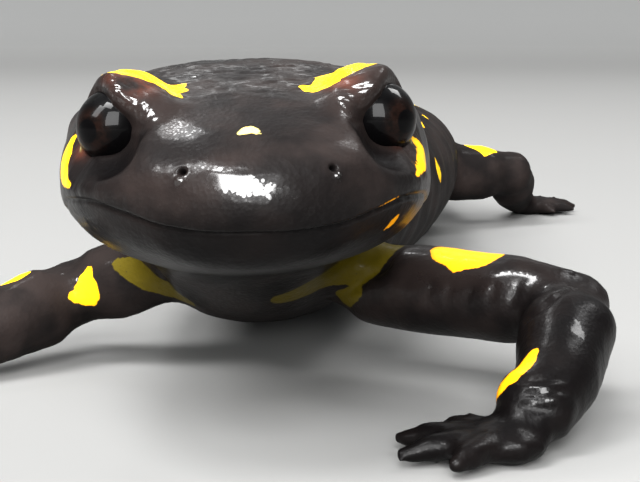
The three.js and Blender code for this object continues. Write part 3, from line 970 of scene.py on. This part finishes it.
def skinPaint():
    paint = Paint("wetSkin")
    tones = skinTones
    at = paint.place()
    edge = (paint.cloud(at, 0.9, 3) - 0.5) * 0.36 + (paint.cloud(at, 0.22, 1) - 0.5) * 0.1
    mark = (paint.value("inside") + edge).step(-0.05, 0.05)
    dusk = paint.value("dusk")
    dark = paint.mix(paint.cloud(at, 3.5, 3).step(0.35, 0.7), tones["black"], tones["brown"])
    dark = paint.mix(paint.value("rust") * paint.cloud(at, 1.2, 2).step(0.3, 0.6), dark, tones["rust"])
    # painted shade: the skin turns near-black in the hollows before the eyes, in the nostrils and under the
    # jaw
    shade = paint.value("shade")
    dark = paint.mix(shade, dark, tones["shadeBlack"])
    warmEdge = (1 - (paint.value("inside") + edge).step(0.02, 0.3)) * 0.35
    bright = paint.mix(paint.value("orange") + warmEdge + (paint.cloud(at, 1.6, 2) - 0.5) * 0.3,
                       tones["lemon"], tones["orange"])
    # painted shade darkens the throat patches' yellow; below 0 the snout spot takes its real pale cream
    bright = paint.mix(dusk.step(0.2, 0.8), bright, tones["shadedYellow"])
    bright = paint.mix((0 - dusk).step(0.2, 0.8), bright, tones["pale"])
    pores = paint.cells(at, 0.55).step(0.04, 0.12)
    bright = paint.mix((1 - pores) * 0.45, bright, tones["brown"])
    speckle = paint.cloud(at, 0.32, 2)
    drops = paint.cells(at, 0.42)
    wetEdge = (paint.cloud(at, 0.8, 3) - 0.5) * 0.8 + (0.4 - paint.cells(at, 0.25)) * 0.5
    wet = (paint.value("wet") + wetEdge).step(-0.04, 0.04)
    sheen = paint.cloud(at, 2.4, 3).step(0.45, 0.75) * speckle.step(0.5, 0.7)
    granules = (1 - paint.cells(at, 0.16).step(0.15, 0.6)) * paint.cloud(at, 0.5, 3).step(0.3, 0.6)
    furrows = paint.cells(paint.stretch(at, (0.42, 1.0, 1.0)), 0.42, "DISTANCE_TO_EDGE")
    glance = (1 - furrows.step(0.02, 0.16)) * paint.cloud(at, 1.1, 2).step(0.42, 0.62)
    dry = paint.value("dry")
    damp = (0.08 + granules * 0.3) * (1 - dry * 0.85)
    damp = damp + paint.value("gloss") * (granules * 0.8 + 0.06) + paint.value("crown") * glance * 0.8
    grain = paint.cells(at, 0.26) * 0.7 + paint.cloud(at, 0.45, 3) * 0.9 + drops * 0.4
    return paint.finish({
        # painted highlight: the pale line along the lower lids
        "Base Color": paint.mix(paint.value("rim") * 0.75, paint.mix(mark, dark, bright), tones["rim"]),
        "Roughness": 0.4 + dry * 0.15 + paint.value("trunk") * 0.2 - wet * 0.15 - sheen * 0.1,
        "IOR": 1.15,
        "Specular IOR Level": 0.5,
        "Coat Weight": (damp + wet + sheen * 0.2) * (1 - shade * 0.9),
        "Coat Roughness": 0.13,
        "Normal": paint.relief(grain, 0.05, 0.4),
    })


def finishPiece(name, mesh, material):
    mesh.polygons.foreach_set("use_smooth", [True] * len(mesh.polygons))
    mesh.materials.clear()
    mesh.materials.append(material)
    piece = bpy.data.objects.new(name, mesh)
    bpy.context.scene.collection.objects.link(piece)
    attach(piece, "root")
    return piece


shadePlan = {
    # painted shade: near-black painted where shade falls, in the hollows before the eyes, in the nostrils
    # and under the jaw
    "spots": [((7.2, 5.5, 2.8), 1.9, 0.95), ((-7.1, 5.5, 2.8), 2.0, 0.95),
              ((6.0, 4.6, 4.2), 0.9, 0.5), ((-6.0, 4.6, 4.2), 0.9, 0.5),
              ((3.97, 1.3, 2.8), 0.3, 1.0), ((-3.33, 1.05, 2.87), 0.3, 1.0)],
    "jaw": (2.6, -1.2, 0.8),      # from this height down to that, how much
}

dryPlan = {
    # skin that has dried: the left of the snout and the lips
    "spots": [((3.4, 1.0, 3.4), 2.6, 1.0), ((6.0, 4.0, 1.6), 3.4, 0.8), ((0.0, 1.5, 0.6), 2.4, 0.8),
              ((0.8, 4.5, 5.4), 2.2, 0.6), ((4.0, 7.5, 6.2), 2.0, 0.6), ((0.8, 0.4, 3.2), 1.3, 1.0),
              ((-0.6, 2.6, 4.6), 1.7, 0.9), ((-5.0, 3.0, 3.4), 1.4, 0.9)],
    "trunk": (23.0, 32.0),          # and all of the trunk, from here back
}

glossPlan = {
    # damp patches that shine softly, between the right eye and the nose and on the hoods
    "spots": [((-3.15, 3.3, 4.9), 0.65, 1.0), ((-3.7, 4.3, 5.4), 0.5, 0.7), ((-2.6, 1.7, 4.1), 0.5, 0.8),
              ((-2.3, 0.9, 3.5), 0.75, 1.0),
              ((-6.6, 6.2, 7.1), 0.8, 0.9), ((-5.5, 5.5, 6.3), 0.8, 0.9),
              ((6.0, 5.95, 6.8), 0.8, 0.9), ((5.2, 5.6, 6.4), 0.7, 0.9)],
}

rustPlan = {
    # warm brown tinges beside the brow stripes and on the cheek
    "spots": [((5.2, 7.0, 7.1), 0.9, 0.9), ((-5.6, 6.9, 7.2), 0.9, 0.8), ((-6.8, 7.2, 7.6), 0.8, 0.5),
              ((-8.9, 8.6, 4.1), 0.7, 0.8), ((8.2, 7.2, 3.9), 0.6, 0.4)],
}


def spotted(local, spots):
    # soft round spots, each with a middle, a reach and a strength
    value = np.zeros(len(local))
    for centre, reach, strength in spots:
        value = np.maximum(value, strength * bump(np.linalg.norm(local - centre, axis=1), reach))
    return value


def finishSkin(clay):
    surface = Surface(clay)
    lines = laidLines(surface, headMarks, bodyMarks)
    lines.update(backLines(surface))
    inside, owner = depthInside(clay.points, lines)
    loose = owner >= len(headMarks) + len(bodyMarks)
    size, wander = backPlan["unevenness"]
    inside[loose] += wander * cloudAt(clay.points[loose], size)
    tones = np.array([markTone.get(name, (0.15, 0)) for name in lines] + [(0, 0)])[owner]
    wet, _ = depthInside(clay.points, laidLines(surface, headWet, bodyWet))
    local = head.local(clay.points)
    # painted highlight: a thin pale line along the lower lid's edge, where the lid catches light
    rim = np.zeros(len(local))
    for eye in eyes:
        gap, reach, turn, _ = eye.fromRim(local)
        below = smooth(215, 240, turn) * (1 - smooth(335, 350, turn))
        rim = np.maximum(rim, below * bump(gap - 0.12, 0.09) * (1 - smooth(2.28, 2.45, reach)))
    # painted shade, darker towards the underside of the jaw
    high, low, most = shadePlan["jaw"]
    jaw = most * smooth(-high, -low, -local[:, 2]) * (1 - smooth(14, 26, local[:, 1]))
    trunk = smooth(*dryPlan["trunk"], local[:, 1])
    clay.points *= mm
    clay.write()
    carried = {"inside": inside, "orange": tones[:, 0], "dusk": tones[:, 1], "wet": wet,
               "rust": spotted(local, rustPlan["spots"]),
               "dry": np.maximum(trunk, spotted(local, dryPlan["spots"])), "trunk": trunk,
               "shade": np.maximum(jaw, spotted(local, shadePlan["spots"])),
               "gloss": spotted(local, glossPlan["spots"]), "crown": crownWeight(local), "rim": rim}
    for name, rows in carried.items():
        clay.mesh.attributes.new(name, "FLOAT", "POINT").data.foreach_set("value", rows)
    clay.mesh.name = "skin"
    skin = finishPiece("skin", clay.mesh, skinPaint())
    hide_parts(*fleshNodes)
    triangles = sum(len(face.vertices) - 2 for face in clay.mesh.polygons)
    print("skin finished:", triangles, "triangles")


finishSkin(clay)

eyeballPlan = {
    "sides": 72,
    "rings": 48,
    "lookAxis": (0.65, -0.755, -0.07),
    "corneaAngle": 44,
    "corneaRise": 0.1,
    "irisAngle": 38,
    "pupilAngle": 15.5,
    "film": (0.45, 0.7),     # water gathers under the upper lid, from this height to that
    "pupil": (0.0008, 0.0007, 0.0008),
    "irisDark": (0.0011, 0.0009, 0.0008),
    "irisWarm": (0.0060, 0.0028, 0.0021),
}


def eyePaint():
    plan = eyeballPlan
    paint = Paint("wetEye")
    at = paint.place()
    tilt = paint.value("tilt")
    streaks = paint.value("streaks")
    fleck = paint.cloud(at, 0.5, 4, 0.65).step(0.35, 0.65)
    iris = paint.mix(streaks * 0.3 + fleck * 0.8, plan["irisDark"], plan["irisWarm"])
    ring = (tilt - plan["pupilAngle"]).step(0.5, 2.5) * (1 - (tilt - plan["irisAngle"]).step(-12, 4))
    colour = paint.mix(ring, plan["pupil"], iris)
    return paint.finish({
        "Base Color": colour,
        "Roughness": 0.35 - ring * 0.05,
        "IOR": 1.2,
        "Specular IOR Level": 0.1,
        "Coat Weight": 0.2 + paint.value("film") * 0.6,
        "Coat Roughness": 0.02,
        "Coat IOR": 1.33,
        "Normal": paint.relief(fleck * ring, 0.02, 0.3),
    })


def makeEye(side, node):
    plan = eyeballPlan
    radius = headPlan["eyeRadius"]
    bm = bmesh.new()
    bmesh.ops.create_uvsphere(bm, u_segments=plan["sides"], v_segments=plan["rings"], radius=radius)
    rows = np.array([v.co for v in bm.verts])
    tilt = np.degrees(np.arccos(np.clip(rows[:, 2] / radius, -1, 1)))
    turn = np.arctan2(rows[:, 1], rows[:, 0])
    rise = plan["corneaRise"] * np.clip(1 - (tilt / plan["corneaAngle"]) ** 2, 0, 1) ** 2
    streaks = np.array([0.5 + 0.5 * noise.noise((9 * math.cos(a), 9 * math.sin(a), 0.04 * t))
                        for a, t in zip(turn, tilt)])
    for vert, lift in zip(bm.verts, rise):
        vert.co *= 1 + lift / radius
    axis = head.axes.T @ unit(np.array(plan["lookAxis"]) * [side, 1, 1])
    turnTo = Vector(axis).to_track_quat("Z", "Y").to_matrix().to_4x4()
    middle = Vector(nodeCentre(node))
    bmesh.ops.transform(bm, matrix=Matrix.Translation(middle) @ turnTo, verts=bm.verts)
    above = (np.array([v.co for v in bm.verts]) - nodeCentre(node)) @ head.up / radius
    film = smooth(*plan["film"], above)
    bmesh.ops.scale(bm, vec=(mm,) * 3, verts=bm.verts)
    mesh = bpy.data.meshes.new(node + "Ball")
    bm.to_mesh(mesh)
    bm.free()
    for name, values in (("tilt", tilt), ("streaks", streaks), ("film", film)):
        carried = mesh.attributes.new(name, "FLOAT", "POINT")
        carried.data.foreach_set("value", values)
    ball = finishPiece("eyeball" + ("Left" if side > 0 else "Right"), mesh, eyePaint())
    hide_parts(node)


makeEye(1, "eye_left")
makeEye(-1, "eye_right")
print("eyes made")

studio = {
    "floorReach": 1.0,
    "sweepRadius": 2.4,
    "wallTop": 3.2,
    "floorTone": (0.20, 0.20, 0.196),
    "wallTone": (0.62, 0.62, 0.61),      # paler far off, where less light falls
    "wallStart": (0.45, 1.5),
    "skyTone": (0.80, 0.83, 0.86),
    "skyStrength": 0.4,
    # azimuth, elevation, distance, width, height, watts
    "lights": {"keyBox": (0, 31, 0.90, 0.46, 0.64, 28),
               "leftBox": (-62, 47, 1.0, 0.34, 0.42, 14),
               "crownBox": (-38, 67, 0.9, 0.36, 0.24, 10),
               "rearBox": (178, 33, 1.1, 0.60, 0.26, 0.6),
               "backBox": (-159, 50, 0.9, 0.12, 0.15, 1.2),
               "sideBox": (128, 50, 0.9, 0.24, 0.30, 3.0)},
    "aim": (-0.004, -0.085, 0.015),
}


def makeStudio():
    bm = bmesh.new()
    reach, radius = studio["floorReach"], studio["sweepRadius"]
    profile = [(0.0, 0.0), (reach, 0.0)]
    for k in range(1, 13):
        a = math.radians(90 * k / 12)
        profile.append((reach + radius * math.sin(a), radius * (1 - math.cos(a))))
    profile.append((reach + radius, studio["wallTop"]))
    verts = [bm.verts.new((x, 0, z)) for x, z in profile]
    edges = [bm.edges.new(pair) for pair in zip(verts, verts[1:])]
    bmesh.ops.spin(bm, geom=verts + edges, cent=(0, 0, 0), axis=(0, 0, 1), angle=math.tau,
                   steps=96, use_merge=True)
    bmesh.ops.remove_doubles(bm, verts=bm.verts, dist=0.0001)
    bmesh.ops.recalc_face_normals(bm, faces=bm.faces)
    if bm.faces[0].normal.z < 0:
        bmesh.ops.reverse_faces(bm, faces=bm.faces)
    mesh = bpy.data.meshes.new("floor")
    bm.to_mesh(mesh)
    bm.free()
    paint = Paint("paleFloor")
    at = paint.place()
    near = paint.mix(paint.cloud(at, 60, 2), studio["floorTone"],
                     tuple(0.97 * c for c in studio["floorTone"]))
    distance = paint.node("ShaderNodeVectorMath", {"operation": "LENGTH"}, {0: at}, out="Value")
    mesh.materials.append(paint.finish({
        "Base Color": paint.mix(distance.step(*studio["wallStart"]), near, studio["wallTone"]),
        "Roughness": 0.8,
        "Specular IOR Level": 0.0,
    }))
    mesh.polygons.foreach_set("use_smooth", [True] * len(mesh.polygons))
    floor = bpy.data.objects.new("floor", mesh)
    bpy.context.scene.collection.objects.link(floor)

    aim = Vector(studio["aim"])
    for name, (azimuth, elevation, distance, width, height, watts) in studio["lights"].items():
        data = bpy.data.lights.new(name, "AREA")
        data.shape = "RECTANGLE"
        data.size, data.size_y, data.energy = width, height, watts
        lamp = bpy.data.objects.new(name, data)
        a, e = math.radians(azimuth), math.radians(elevation)
        out = Vector((math.sin(a) * math.cos(e), -math.cos(a) * math.cos(e), math.sin(e)))
        lamp.location = aim + out * distance
        lamp.rotation_euler = out.to_track_quat("Z", "Y").to_euler()
        lamp.visible_camera = False
        bpy.context.scene.collection.objects.link(lamp)

    world = bpy.data.worlds.new("paleSky")
    world.use_nodes = True
    sky = world.node_tree.nodes["Background"]
    sky.inputs["Color"].default_value = (*studio["skyTone"], 1)
    sky.inputs["Strength"].default_value = studio["skyStrength"]
    bpy.context.scene.world = world


cameraPlan = {
    "place": (0, -0.1597, 0.0248),
    "tiltDown": 9.0,
    "lens": 80.3,
    "sensor": 36.0,
}


def makeCamera():
    data = bpy.data.cameras.new("camera")
    data.lens, data.sensor_width = cameraPlan["lens"], cameraPlan["sensor"]
    data.clip_start, data.clip_end = 0.005, 20
    camera = bpy.data.objects.new("camera", data)
    camera.location = cameraPlan["place"]
    camera.rotation_euler = (math.radians(90 - cameraPlan["tiltDown"]), 0, 0)
    bpy.context.scene.collection.objects.link(camera)
    bpy.context.scene.camera = camera
    bpy.context.scene.view_settings.view_transform = "Standard"


makeStudio()
makeCamera()
print("studio ready")
